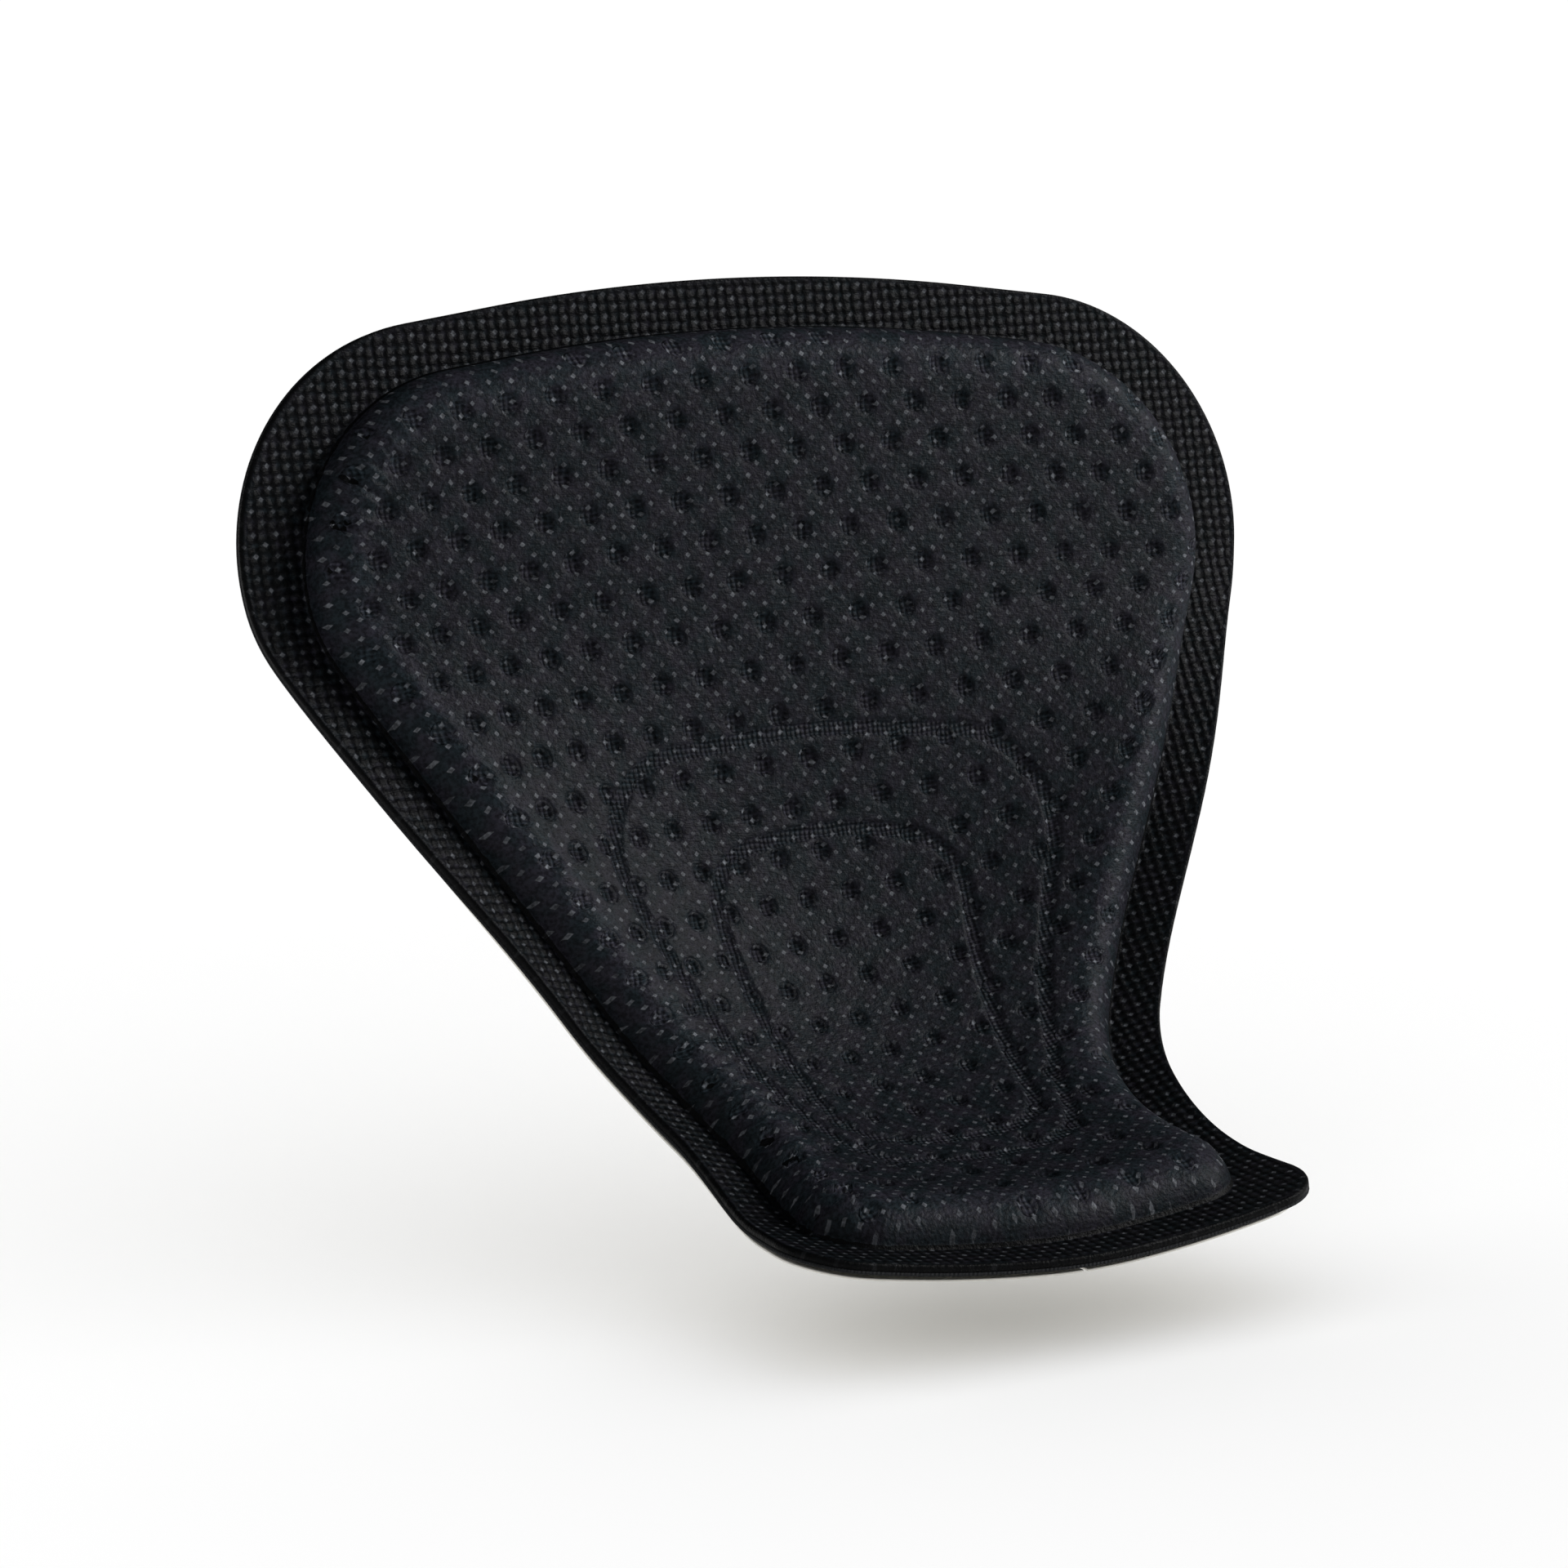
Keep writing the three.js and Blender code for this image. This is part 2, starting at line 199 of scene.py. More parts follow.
def disc(insets, n, height, halve=(), to_centre=14):
    """A skin over the whole pad: rings inset from its edge, then rings that shrink to a point."""
    theta = even_angles(n)
    points, heights, faces = [], [], []
    count = 0
    last = None
    lines = [right_half(pad_corners, d) for d in insets]
    inner = ring_at(lines[-1], theta)
    steps = [(ring_at(line, theta), d) for line, d in zip(lines, insets)]
    middle_point = np.array([0, heel_centre_v])
    for k in range(1, to_centre):
        share = k / to_centre
        steps.append((inner * (1 - share) + middle_point * share, 99))
    keep = 1
    for number, (ring, d) in enumerate(steps):
        if number in halve:
            keep *= 2
        ring = ring[::keep]
        points.append(ring)
        heights.append(height(ring[:, 0], ring[:, 1], np.full(len(ring), float(d))))
        if last:
            faces += ring_faces(last[0], count, last[1], len(ring))
        last = (count, len(ring))
        count += len(ring)
    points.append(middle_point[None])
    heights.append(height(np.zeros(1), np.array([heel_centre_v]), np.array([99.0])))
    faces += [(last[0] + k, last[0] + (k + 1) % last[1], count) for k in range(last[1])]
    uv = np.concatenate(points)
    return uv, np.concatenate(heights), faces


def closed(front, back, edge):
    """Joins a front and a back skin round their edges, whose first points are the edge rings."""
    front_uv, front_h, front_faces = front
    back_uv, back_h, back_faces = back
    start = len(front_uv)
    faces = list(front_faces)
    faces += [tuple(start + i for i in reversed(f)) for f in back_faces]
    faces += [(k, start + k, start + (k + 1) % edge, (k + 1) % edge) for k in range(edge)]
    return np.concatenate([front_uv, back_uv]), np.concatenate([front_h, back_h]), faces


def pressed_piece(name, uv, h, faces, body, node):
    """Makes a mesh of flat points and heights, in place on the mould, riding on its CAD body."""
    points = raised(uv[:, 0], uv[:, 1], h) * 0.001 + place
    mesh = bpy.data.meshes.new(name)
    mesh.from_pydata(points.tolist(), [], faces)
    mesh.shade_smooth()
    flat = mesh.attributes.new("flat_mm", "FLOAT_VECTOR", "POINT")
    flat.data.foreach_set("vector", np.column_stack([uv, h]).astype(np.float32).ravel())
    piece = bpy.data.objects.new(name, mesh)
    bpy.context.scene.collection.objects.link(piece)
    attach(piece, body)
    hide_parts(node)
    return piece


def node_tree(name):
    material = bpy.data.materials.new(name)
    material.use_nodes = True
    tree = material.node_tree
    return material, tree, tree.nodes["Principled BSDF"]


def add(tree, kind, settings=None, **inputs):
    """Adds a node, sets its fields, and links or fills its inputs by name."""
    node = tree.nodes.new(kind)
    for key, value in (settings or {}).items():
        setattr(node, key, value)
    for key, value in inputs.items():
        socket = node.inputs[int(key[1:]) if key[1:].isdigit() else key.replace("_", " ")]
        if isinstance(value, bpy.types.NodeSocket):
            tree.links.new(value, socket)
        else:
            socket.default_value = value
    return node


def maths(tree, operation, a, b=0.0, c=0.0):
    return add(tree, "ShaderNodeMath", {"operation": operation}, _0=a, _1=b, _2=c).outputs[0]


def ramp(tree, x, low, high, out_low=0.0, out_high=1.0):
    """x mapped smoothly from low..high to out_low..out_high."""
    node = add(tree, "ShaderNodeMapRange", {"interpolation_type": "SMOOTHSTEP"}, Value=x)
    node.inputs["From Min"].default_value = low
    node.inputs["From Max"].default_value = high
    node.inputs["To Min"].default_value = out_low
    node.inputs["To Max"].default_value = out_high
    return node.outputs["Result"]


def two_tones(tree, share, dark, light):
    node = add(tree, "ShaderNodeMix", {"data_type": "RGBA"})
    tree.links.new(share, node.inputs["Factor"])
    for socket, colour in ((node.inputs[6], dark), (node.inputs[7], light)):
        if isinstance(colour, bpy.types.NodeSocket):
            tree.links.new(colour, socket)
        else:
            socket.default_value = (*colour, 1)
    return node.outputs[2]


def flat_base_top(u, v, d):
    return base_thickness - cut_edge_round * (d < 0.1)


def flat_base_back(u, v, d):
    return cut_edge_round * (d < 0.1)


place = np.zeros(3)
base_insets = [0, 0.15, 0.6, 1.8, 3.4, 5.2, 7.5, 10]
base_top = disc(base_insets, base_rim_points, flat_base_top, (6,))
base_back = disc(base_insets, base_rim_points, flat_base_back, (6,))
base_uv, base_h, base_faces = closed(base_top, base_back, base_rim_points)
base_low = (raised(base_uv[:, 0], base_uv[:, 1], base_h) * 0.001).min(axis=0)
base_high = (raised(base_uv[:, 0], base_uv[:, 1], base_h) * 0.001).max(axis=0)
cad_base_low, cad_base_high = (np.array(corner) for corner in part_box("base_cloth"))
place = (cad_base_low + cad_base_high - base_low - base_high) / 2

tricot, tree, skin = node_tree("black_tricot")
flat = add(tree, "ShaderNodeAttribute", {"attribute_name": "flat_mm"}).outputs["Vector"]
split = add(tree, "ShaderNodeSeparateXYZ", Vector=flat)
wale = maths(tree, "SINE", maths(tree, "MULTIPLY", split.outputs[0], 2 * math.pi / 0.42))
course = maths(tree, "SINE", maths(tree, "MULTIPLY", split.outputs[1], 2 * math.pi / 0.34))
loops = maths(tree, "MULTIPLY", wale, course)
fuzz = add(tree, "ShaderNodeTexNoise", Vector=flat, Scale=2.2, Detail=3.0).outputs["Fac"]
tricot_share = maths(tree, "ADD", maths(tree, "MULTIPLY", loops, 0.3), fuzz)
tricot_colour = two_tones(tree, tricot_share, (0.0035, 0.0038, 0.0045), (0.011, 0.012, 0.014))
tree.links.new(tricot_colour, skin.inputs["Base Color"])
tricot_bump = add(tree, "ShaderNodeBump", Strength=0.5, Distance=0.00008, Height=loops)
tree.links.new(tricot_bump.outputs[0], skin.inputs["Normal"])
skin.inputs["Roughness"].default_value = 0.85
skin.inputs["Specular IOR Level"].default_value = 0.2

base_cloth = pressed_piece(
    "base_cloth_tricot", base_uv, base_h, base_faces, "pad", "base_cloth"
)
base_cloth.data.materials.append(tricot)


def flat_area(corners, d=0.0):
    line = right_half(corners, d)
    u, v = line[:, 0], line[:, 1]
    return abs(np.sum(midpoints(u) * np.diff(v))) * 2


edge_line = right_half(pad_corners)
flat_area(pad_corners) * 1e-6

# ---- Foam cushion ---------------------------------------------------------------------------
# One piece of soft open-cell foam under the cover, thinned to a feather at its edge and pressed
# in along the two loops. Its cells only show where the cover would be lifted.
shoulder_start = 5.0
shoulder_width = 3.9
foam_bottom = 0.5
foam_thickness = 4.0
groove_half_floor, groove_half_mouth, groove_depth = 0.55, 0.9, 0.28
outer_loop = [(0, 45, 57.2), (28.6, 48.39, 14), (12, 99.24, 8), (0, 101.5, 36)]
inner_loop = [(0, 54.8, 30.4), (15.2, 57.32, 14), (11, 95.12, 8), (0, 96.8, 33)]


def gap_to(line, u, v):
    """The distance from flat points to a line and its mirror image."""
    points = np.stack([np.abs(u), v], axis=1)
    a, b = line[:-1], line[1:]
    along = b - a
    length = np.maximum((along**2).sum(axis=1), 1e-12)
    nearest = np.empty(len(points))
    for i in range(0, len(points), 4000):
        p = points[i : i + 4000, None, :] - a[None]
        t = np.clip((p * along).sum(axis=2) / length, 0, 1)[..., None]
        nearest[i : i + 4000] = np.sqrt(((p - t * along) ** 2).sum(axis=2).min(axis=1))
    return nearest


outer_line, inner_line = right_half(outer_loop), right_half(inner_loop)


def groove_share(u, v):
    """1 on the floor of either pressed loop, falling to 0 at its mouth."""
    gap = np.minimum(gap_to(outer_line, u, v), gap_to(inner_line, u, v))
    return 1 - ease(groove_half_floor, groove_half_mouth, gap)


def shoulder(d):
    """How far the cushion has risen at distance d from the edge: 0 at the flange, 1 on top."""
    t = np.clip((d - shoulder_start) / shoulder_width, 0, 1)
    return (1 - (1 - t) ** 2.3) ** (1 / 1.8)


def foam_top_at(u, v, d):
    inside = np.where(d > 50, gap_to(edge_line, u, v), d)
    top = foam_bottom + 0.1 + (foam_thickness - 0.1) * shoulder(inside)
    return top - groove_depth * groove_share(u, v) * (inside > 9)


def foam_back_at(u, v, d):
    return np.full(len(u), foam_bottom + 0.02)


foam_rim_points = 400
foam_insets = [5.1, 5.5, 6.1, 7, 8, 9, 10.2]
foam_top = disc(foam_insets, foam_rim_points, foam_top_at, (), 60)
foam_back = disc([5.1, 7, 10.2], foam_rim_points, foam_back_at, (), 14)
foam_uv, foam_h, foam_faces = closed(foam_top, foam_back, foam_rim_points)
foam_core = pressed_piece(
    "foam_cushion_core", foam_uv, foam_h, foam_faces, "pad", "foam_cushion"
)
cell_foam, tree, skin = node_tree("open_cell_foam")
flat = add(tree, "ShaderNodeAttribute", {"attribute_name": "flat_mm"}).outputs["Vector"]
cells = add(tree, "ShaderNodeTexVoronoi", Vector=flat, Scale=2.6).outputs["Distance"]
foam_colour = two_tones(
    tree, ramp(tree, cells, 0.1, 0.6), (0.008, 0.008, 0.009), (0.03, 0.03, 0.034)
)
tree.links.new(foam_colour, skin.inputs["Base Color"])
foam_bump = add(tree, "ShaderNodeBump", Strength=0.6, Distance=0.0002, Height=cells)
tree.links.new(foam_bump.outputs[0], skin.inputs["Normal"])
skin.inputs["Roughness"].default_value = 0.95
skin.inputs["Specular IOR Level"].default_value = 0.15
foam_core.data.materials.append(cell_foam)

# ---- Face fabric ----------------------------------------------------------------------------
# A charcoal warp knit with small pale lozenges, bonded over the foam in one heated press. The
# press leaves rows of round wells, two sunken loops and a thin flange with the mould's mesh in it.
flange_top = 1.1
plateau_top = 5.2
well_floor, well_mouth, well_depth = 0.78, 1.14, 0.46
well_keep_off = 6.1
edge_points = 1040
grid_pitch = 0.27
lozenge_across, lozenge_down = 2.15, 2.03


def well_lattice():
    """The wells: staggered rows, stretched with the fabric as it was drawn over the heel."""
    i, j = np.meshgrid(np.arange(-20, 16), np.arange(-4, 24))
    x, y = ((i + j / 2).ravel() + 1) / 10, (j.ravel() - 8) / 10
    u = 50.5 * x + 6.8 * x**2 - 2.8 * x**3 - 0.9
    u += y * (0.45 - 1.2 * x + 6.4 * x**2) + y**2 * (1.8 * x - 1.3) - 4.0 * y**3
    v = 48.1 - 3.2 * x + 3.2 * x**2
    v += y * (45.1 - 3.1 * x + 0.26 * x**2) + y**2 * (3.7 - 0.8 * x) - 1.5 * y**3
    return np.stack([u, v], axis=1)


def inside_line(line, u, v):
    """Which flat points lie within an outline given by its right half."""
    loop = np.concatenate([line, (line * [-1, 1])[::-1]])
    a, b = loop, np.roll(loop, -1, axis=0)
    inside = np.zeros(len(u), bool)
    for i in range(0, len(u), 4000):
        x, y = u[i : i + 4000, None], v[i : i + 4000, None]
        crosses = (a[:, 1] > y) != (b[:, 1] > y)
        slope = np.where(b[:, 1] == a[:, 1], 1e-12, b[:, 1] - a[:, 1])
        at = a[:, 0] + (y - a[:, 1]) * (b[:, 0] - a[:, 0]) / slope
        inside[i : i + 4000] = (crosses & (x < at)).sum(axis=1) % 2 == 1
    return inside


wells = well_lattice()
wells = wells[inside_line(edge_line, wells[:, 0], wells[:, 1])]
wells = wells[gap_to(edge_line, wells[:, 0], wells[:, 1]) > well_keep_off]
well_tree = KDTree(len(wells))
for number, (u, v) in enumerate(wells):
    well_tree.insert((u, v, 0), number)
well_tree.balance()


edge_length = np.concatenate([[0], np.cumsum(np.linalg.norm(np.diff(edge_line, axis=0), axis=1))])
edge_steps = np.arange(0, edge_length[-1], 0.05)
edge_tree = KDTree(len(edge_steps))
for number, gone in enumerate(edge_steps):
    spot = [np.interp(gone, edge_length, edge_line[:, k]) for k in (0, 1)]
    edge_tree.insert((*spot, 0), number)
edge_tree.balance()


def along_edge(u, v):
    """How far round the edge from its top middle the nearest edge point lies, minus on the left."""
    near = [edge_tree.find((abs(a), b, 0))[1] for a, b in zip(u, v)]
    return edge_steps[near] * np.where(u < 0, -1, 1)


def bump_at(x, middle_x, half_width):
    return np.exp(-(((x - middle_x) / half_width) ** 2))


def pucker(u, v, d):
    """Small creases that run up the shoulder where the cover was gathered in at tight bends."""
    height = np.zeros(len(u))
    on = (d > 4.3) & (d < 13)
    along, d = along_edge(u[on], v[on]), d[on]
    wobble = 1.5 * np.sin(along * 0.31 + 1.1) + 0.8 * np.sin(along * 0.83 + 0.4 + d * 0.3)
    fine = np.sin(along * 4.1 + wobble + d * 0.35)
    fine = fine + 0.6 * np.sin(along * 6.7 - wobble * 1.3 - d * 0.5)
    coarse = np.sin(along * 1.9 + wobble * 0.8 + 0.25 * d)
    where = bump_at(along, -58, 10) + 1.3 * bump_at(along, -157, 9)
    where = where + 0.6 * bump_at(along, -138, 12)
    where += 0.3 * bump_at(along, -98, 18) + 0.5 * bump_at(along, 154, 5) + 0.04
    on_shoulder = ease(4.3, 5.4, d) * (1 - ease(7.2, 11.5, d))
    height[on] = where * on_shoulder * (0.17 * fine + 0.24 * coarse)
    return height


def face_height(u, v, d):
    """The cover's top surface, and each point's distance from a well's middle and a loop."""
    top = flange_top + (plateau_top - flange_top) * shoulder(d)
    groove = groove_share(u, v) * ease(8.5, 9.5, d)
    near = np.array([well_tree.find((a, b, 0))[2] for a, b in zip(u, v)])
    well = (1 - ease(well_floor, well_mouth, near)) * ease(5.2, 6.4, d)
    lip_round = np.clip(1 - d / 0.3, 0, 1)
    top = top - 0.3 * (1 - np.sqrt(1 - lip_round**2 * 0.99))
    top = top - np.maximum(groove_depth * groove, well_depth * well) + pucker(u, v, d)
    crown = 0.04 * np.exp(-(((near - 2.4) / 0.8) ** 2)) * ease(9, 12, d)
    well_gap = near + 0.6 * (1 - ease(5.2, 6.4, d))
    loop_gap = np.minimum(gap_to(outer_line, u, v), gap_to(inner_line, u, v)) + (d < 9)
    return top + crown * (1 - groove), well_gap, loop_gap


def knit_cover():
    """The cover's front skin: rings over the flange and shoulder, then a fine square grid."""
    theta = even_angles(edge_points)
    insets = [0, 0.06, 0.15, 0.3, 0.7, 1.2, 1.8, 2.4, 3, 3.6, 4.1, 4.5, 4.8, 4.95, 5.0, 5.06]
    insets += [5.16, 5.3, 5.5, 5.75, 6.05, 6.35, 6.65, 6.95, 7.25, 7.55, 7.85, 8.15, 8.45, 8.75]
    insets += [9.05, 9.35, 9.65, 9.95]
    rings = [ring_at(right_half(pad_corners, d), theta) for d in insets]
    faces = []
    for k in range(len(rings) - 1):
        faces += ring_faces(k * edge_points, (k + 1) * edge_points, edge_points, edge_points)
    far_in = right_half(pad_corners, insets[-1])
    columns = np.arange(-round(54 / grid_pitch), round(54 / grid_pitch) + 1)
    rows = np.arange(0, round(121 / grid_pitch))
    gu, gv = np.meshgrid(columns * grid_pitch, rows * grid_pitch)
    ok = inside_line(far_in, gu.ravel(), gv.ravel())
    ok &= gap_to(far_in, gu.ravel(), gv.ravel()) > grid_pitch * 0.55
    ok = ok.reshape(gu.shape)
    cell = ok[:-1, :-1] & ok[1:, :-1] & ok[:-1, 1:] & ok[1:, 1:]
    used = np.zeros(ok.shape, bool)
    for dj in (0, 1):
        for di in (0, 1):
            used[dj : dj + cell.shape[0], di : di + cell.shape[1]] |= cell
    ids = np.full(ok.shape, -1)
    start = len(rings) * edge_points
    ids[used] = start + np.arange(used.sum())
    grid = np.stack([gu[used], gv[used]], axis=1)
    j, i = np.nonzero(cell)
    quads = np.stack([ids[j, i], ids[j, i + 1], ids[j + 1, i + 1], ids[j + 1, i]], axis=1)
    faces += [tuple(q) for q in quads.tolist()]
    edges = np.concatenate([np.sort(quads[:, [a, (a + 1) % 4]], axis=1) for a in range(4)])
    edges, times = np.unique(edges, axis=0, return_counts=True)
    border = edges[times == 1]
    last = start - edge_points
    ring_ids = np.arange(last, start)
    border_ids = np.unique(border)
    ids_in = np.concatenate([ring_ids, border_ids])
    where = {int(n): k for k, n in enumerate(ids_in)}
    flat_points = np.concatenate([np.concatenate(rings), grid])
    given = [(where[last + k], where[last + (k + 1) % edge_points]) for k in range(edge_points)]
    given += [(where[int(a)], where[int(b)]) for a, b in border]
    spots = [Vector(p) for p in flat_points[ids_in].tolist()]
    made = delaunay_2d_cdt(spots, given, [], 0, 1e-7)
    if len(made[0]) != len(spots):
        raise RuntimeError("the band between the rings and the grid gained or lost points")
    triangles = np.array([f for f in made[2]])
    origin = np.array([o[0] for o in made[3]])
    triangles = ids_in[origin[triangles]]
    centres = flat_points[triangles].mean(axis=1)
    outside = ~inside_line(far_in, centres[:, 0], centres[:, 1])
    ci = np.floor(centres[:, 0] / grid_pitch).astype(int) - columns[0]
    cj = np.floor(centres[:, 1] / grid_pitch).astype(int)
    ci, cj = np.clip(ci, 0, cell.shape[1] - 1), np.clip(cj, 0, cell.shape[0] - 1)
    keep = ~outside & ~cell[cj, ci]
    band = triangles[keep]
    corner = flat_points[band]
    one, two = corner[:, 1] - corner[:, 0], corner[:, 2] - corner[:, 0]
    turn = one[:, 0] * two[:, 1] - one[:, 1] * two[:, 0]
    band[turn < 0] = band[turn < 0][:, ::-1]
    faces += [tuple(t) for t in band.tolist()]
    d = np.concatenate([np.full(edge_points, x) for x in insets] + [np.zeros(len(grid))])
    d[start:] = gap_to(edge_line, grid[:, 0], grid[:, 1])
    return flat_points, d, faces


cover_uv, cover_d, cover_faces = knit_cover()
cover_h, cover_well_gap, cover_loop_gap = face_height(cover_uv[:, 0], cover_uv[:, 1], cover_d)


def cover_back_at(u, v, d):
    inside = np.where(d > 50, gap_to(edge_line, u, v), d)
    rise = shoulder(inside + 0.12) * (inside > 4.9)
    top = base_thickness + 0.03 + (plateau_top - 0.55 - base_thickness - 0.03) * rise
    return top - groove_depth * groove_share(u, v) * (inside > 9)


back_insets = [0, 2.4, 4.5, 5.0, 5.4, 6.2, 7.4, 8.6, 10]
cover_back = disc(back_insets, edge_points, cover_back_at, (1, 2), 60)
back_flat, back_h, back_faces = cover_back
face_uv, face_h, face_faces = closed((cover_uv, cover_h, cover_faces), cover_back, edge_points)
knit = pressed_piece("knit_cover", face_uv, face_h, face_faces, "pad", "face_fabric")
mesh = knit.data


def point_value(mesh, name, values):
    layer = mesh.attributes.new(name, "FLOAT", "POINT")
    layer.data.foreach_set("value", values.astype(np.float32))


out_of_reach = np.full(len(back_flat), 9.0)
point_value(mesh, "well_gap", np.concatenate([np.minimum(cover_well_gap, 9), out_of_reach]))
point_value(mesh, "loop_gap", np.concatenate([np.minimum(cover_loop_gap, 9), out_of_reach]))
point_value(mesh, "from_edge", np.concatenate([cover_d, out_of_reach * 0]))

charcoal, tree, skin = node_tree("charcoal_knit")
flat = add(tree, "ShaderNodeAttribute", {"attribute_name": "flat_mm"}).outputs["Vector"]
well_gap = add(tree, "ShaderNodeAttribute", {"attribute_name": "well_gap"}).outputs["Fac"]
loop_gap = add(tree, "ShaderNodeAttribute", {"attribute_name": "loop_gap"}).outputs["Fac"]
from_edge = add(tree, "ShaderNodeAttribute", {"attribute_name": "from_edge"}).outputs["Fac"]
sway = add(tree, "ShaderNodeTexNoise", Vector=flat, Scale=0.5, Detail=1.0).outputs["Color"]
drift = add(
    tree, "ShaderNodeVectorMath", {"operation": "MULTIPLY_ADD"}, _0=sway, _1=(0.5, 0.5, 0), _2=flat
)
split = add(tree, "ShaderNodeSeparateXYZ", Vector=drift.outputs[0])
across = maths(tree, "DIVIDE", split.outputs[0], lozenge_across)
down = maths(tree, "DIVIDE", split.outputs[1], lozenge_down)
p = maths(tree, "ADD", across, down)
q = maths(tree, "SUBTRACT", across, down)


def from_nearest(x):
    whole = maths(tree, "ROUND", x)
    return maths(tree, "ABSOLUTE", maths(tree, "SUBTRACT", x, whole)), whole


p_off, p_id = from_nearest(p)
q_off, q_id = from_nearest(q)
off = maths(tree, "MAXIMUM", p_off, q_off)
lozenge = ramp(tree, off, 0.155, 0.115)
hollow = ramp(tree, off, 0.0, 0.07, 0.7, 1.0)
cell_id = add(tree, "ShaderNodeCombineXYZ", X=p_id, Y=q_id).outputs[0]
chance = add(tree, "ShaderNodeTexWhiteNoise", Vector=cell_id).outputs["Value"]
brightness = ramp(tree, chance, 0.0, 1.0, 0.4, 1.0)
lozenge = maths(tree, "MULTIPLY", maths(tree, "MULTIPLY", lozenge, hollow), brightness)


def mesh_print(repeats):
    """The press mesh: rows of pits between raised strands, so many to a lozenge."""
    wave_p = maths(tree, "COSINE", maths(tree, "MULTIPLY", p, 2 * math.pi * repeats))
    wave_q = maths(tree, "COSINE", maths(tree, "MULTIPLY", q, 2 * math.pi * repeats))
    return maths(tree, "MULTIPLY_ADD", maths(tree, "MULTIPLY", wave_p, wave_q), 0.5, 0.5)


inside_shoulder, inside_cut = ramp(tree, from_edge, 5.1, 4.6), ramp(tree, from_edge, 0.2, 0.7)
on_flange = maths(tree, "MULTIPLY", inside_shoulder, inside_cut)
fine_print = mesh_print(2.0)
in_well = ramp(tree, well_gap, 1.08, 0.86)
in_loop = ramp(tree, loop_gap, 0.85, 0.6)
pressed = maths(tree, "MAXIMUM", in_well, in_loop)
coarse_print = mesh_print(1.0)
crinkle = add(tree, "ShaderNodeTexNoise", Vector=flat, Scale=2.6, Detail=2.0, Roughness=0.5)
crinkle = crinkle.outputs["Fac"]
rib_way = add(tree, "ShaderNodeVectorMath", {"operation": "MULTIPLY"}, _0=flat, _1=(1.6, 6.0, 1.0))
ribs = add(tree, "ShaderNodeTexNoise", Vector=rib_way.outputs[0], Scale=1.0, Detail=2.0)
ribs = ribs.outputs["Fac"]
cloth = add(tree, "ShaderNodeTexNoise", Vector=flat, Scale=0.4, Detail=3.0).outputs["Fac"]
ground = two_tones(
    tree, ramp(tree, cloth, 0.35, 0.65), (0.0064, 0.0094, 0.0116), (0.0112, 0.0108, 0.0150)
)
# Painted shade and highlight: the cover's colour is scaled from 0.55 to 1.4 with the same crinkle
# noise that makes its bump, darker in its hollows and lighter on its crests. Each factor below
# scales this painted shading further.
shade = ramp(tree, crinkle, 0.32, 0.68, 0.55, 1.4)
# Painted shade: in the wells and loops the pits of the press mesh are darkened, by up to 0.8.
painted_pit_shade = maths(tree, "MULTIPLY", pressed, maths(tree, "SUBTRACT", 1.0, fine_print))
# Painted shade: the flange is darkened by up to 0.85, most in the pits of its press mesh and less
# on its strands, to tone down the light it catches.
painted_flange_shade = maths(tree, "MULTIPLY", on_flange, ramp(tree, coarse_print, 1.1, 0.3))
# Painted highlight: the shoulder, from about 5 to 11 mm in from the edge, is painted up to 1.5
# times lighter for its satin sheen.
foot, brow = ramp(tree, from_edge, 5.0, 6.2), ramp(tree, from_edge, 11.0, 8.2)
on_shoulder = maths(tree, "MULTIPLY", foot, brow)
shade = maths(tree, "MULTIPLY", shade, maths(tree, "MULTIPLY_ADD", painted_pit_shade, -0.8, 1.0))
shade = maths(tree, "MULTIPLY", shade, maths(tree, "MULTIPLY_ADD", painted_flange_shade, -0.85, 1.0))
shade = maths(tree, "MULTIPLY", shade, maths(tree, "MULTIPLY_ADD", on_shoulder, 0.5, 1.0))
# Painted light: the wells and loops are painted up to 2.1 times lighter, against the shade that
# falls in them.
shade = maths(tree, "MULTIPLY", shade, maths(tree, "MULTIPLY_ADD", pressed, 1.1, 1.0))
# Painted shade: the outermost half millimetre of the cover, its cut edge, is darkened down to a
# tenth.
shade = maths(tree, "MULTIPLY", shade, ramp(tree, from_edge, 0.05, 0.6, 0.1, 1.0))
with_lozenges = two_tones(tree, lozenge, ground, (0.066, 0.070, 0.078))
tinted = add(tree, "ShaderNodeVectorMath", {"operation": "SCALE"}, _0=with_lozenges, Scale=shade)
tree.links.new(tinted.outputs[0], skin.inputs["Base Color"])
ground_relief = maths(tree, "ADD", crinkle, maths(tree, "MULTIPLY", ribs, 0.6))
height = maths(tree, "MULTIPLY", ground_relief, 0.1)
height = maths(tree, "MULTIPLY_ADD", maths(tree, "MULTIPLY", pressed, fine_print), 0.16, height)
height = maths(tree, "MULTIPLY_ADD", in_well, -0.3, height)
height = maths(tree, "MULTIPLY_ADD", in_loop, -0.1, height)
height = maths(tree, "MULTIPLY_ADD", maths(tree, "MULTIPLY", on_flange, coarse_print), 0.17, height)
knit_bump = add(tree, "ShaderNodeBump", Strength=1.0, Distance=0.001, Height=height)
tree.links.new(knit_bump.outputs[0], skin.inputs["Normal"])
smoothness = maths(tree, "ADD", lozenge, maths(tree, "MULTIPLY", crinkle, 0.3))
rough = ramp(tree, smoothness, 0, 1, 0.5, 0.42)
tree.links.new(rough, skin.inputs["Roughness"])
skin.inputs["Specular IOR Level"].default_value = 0.05
knit.data.materials.append(charcoal)

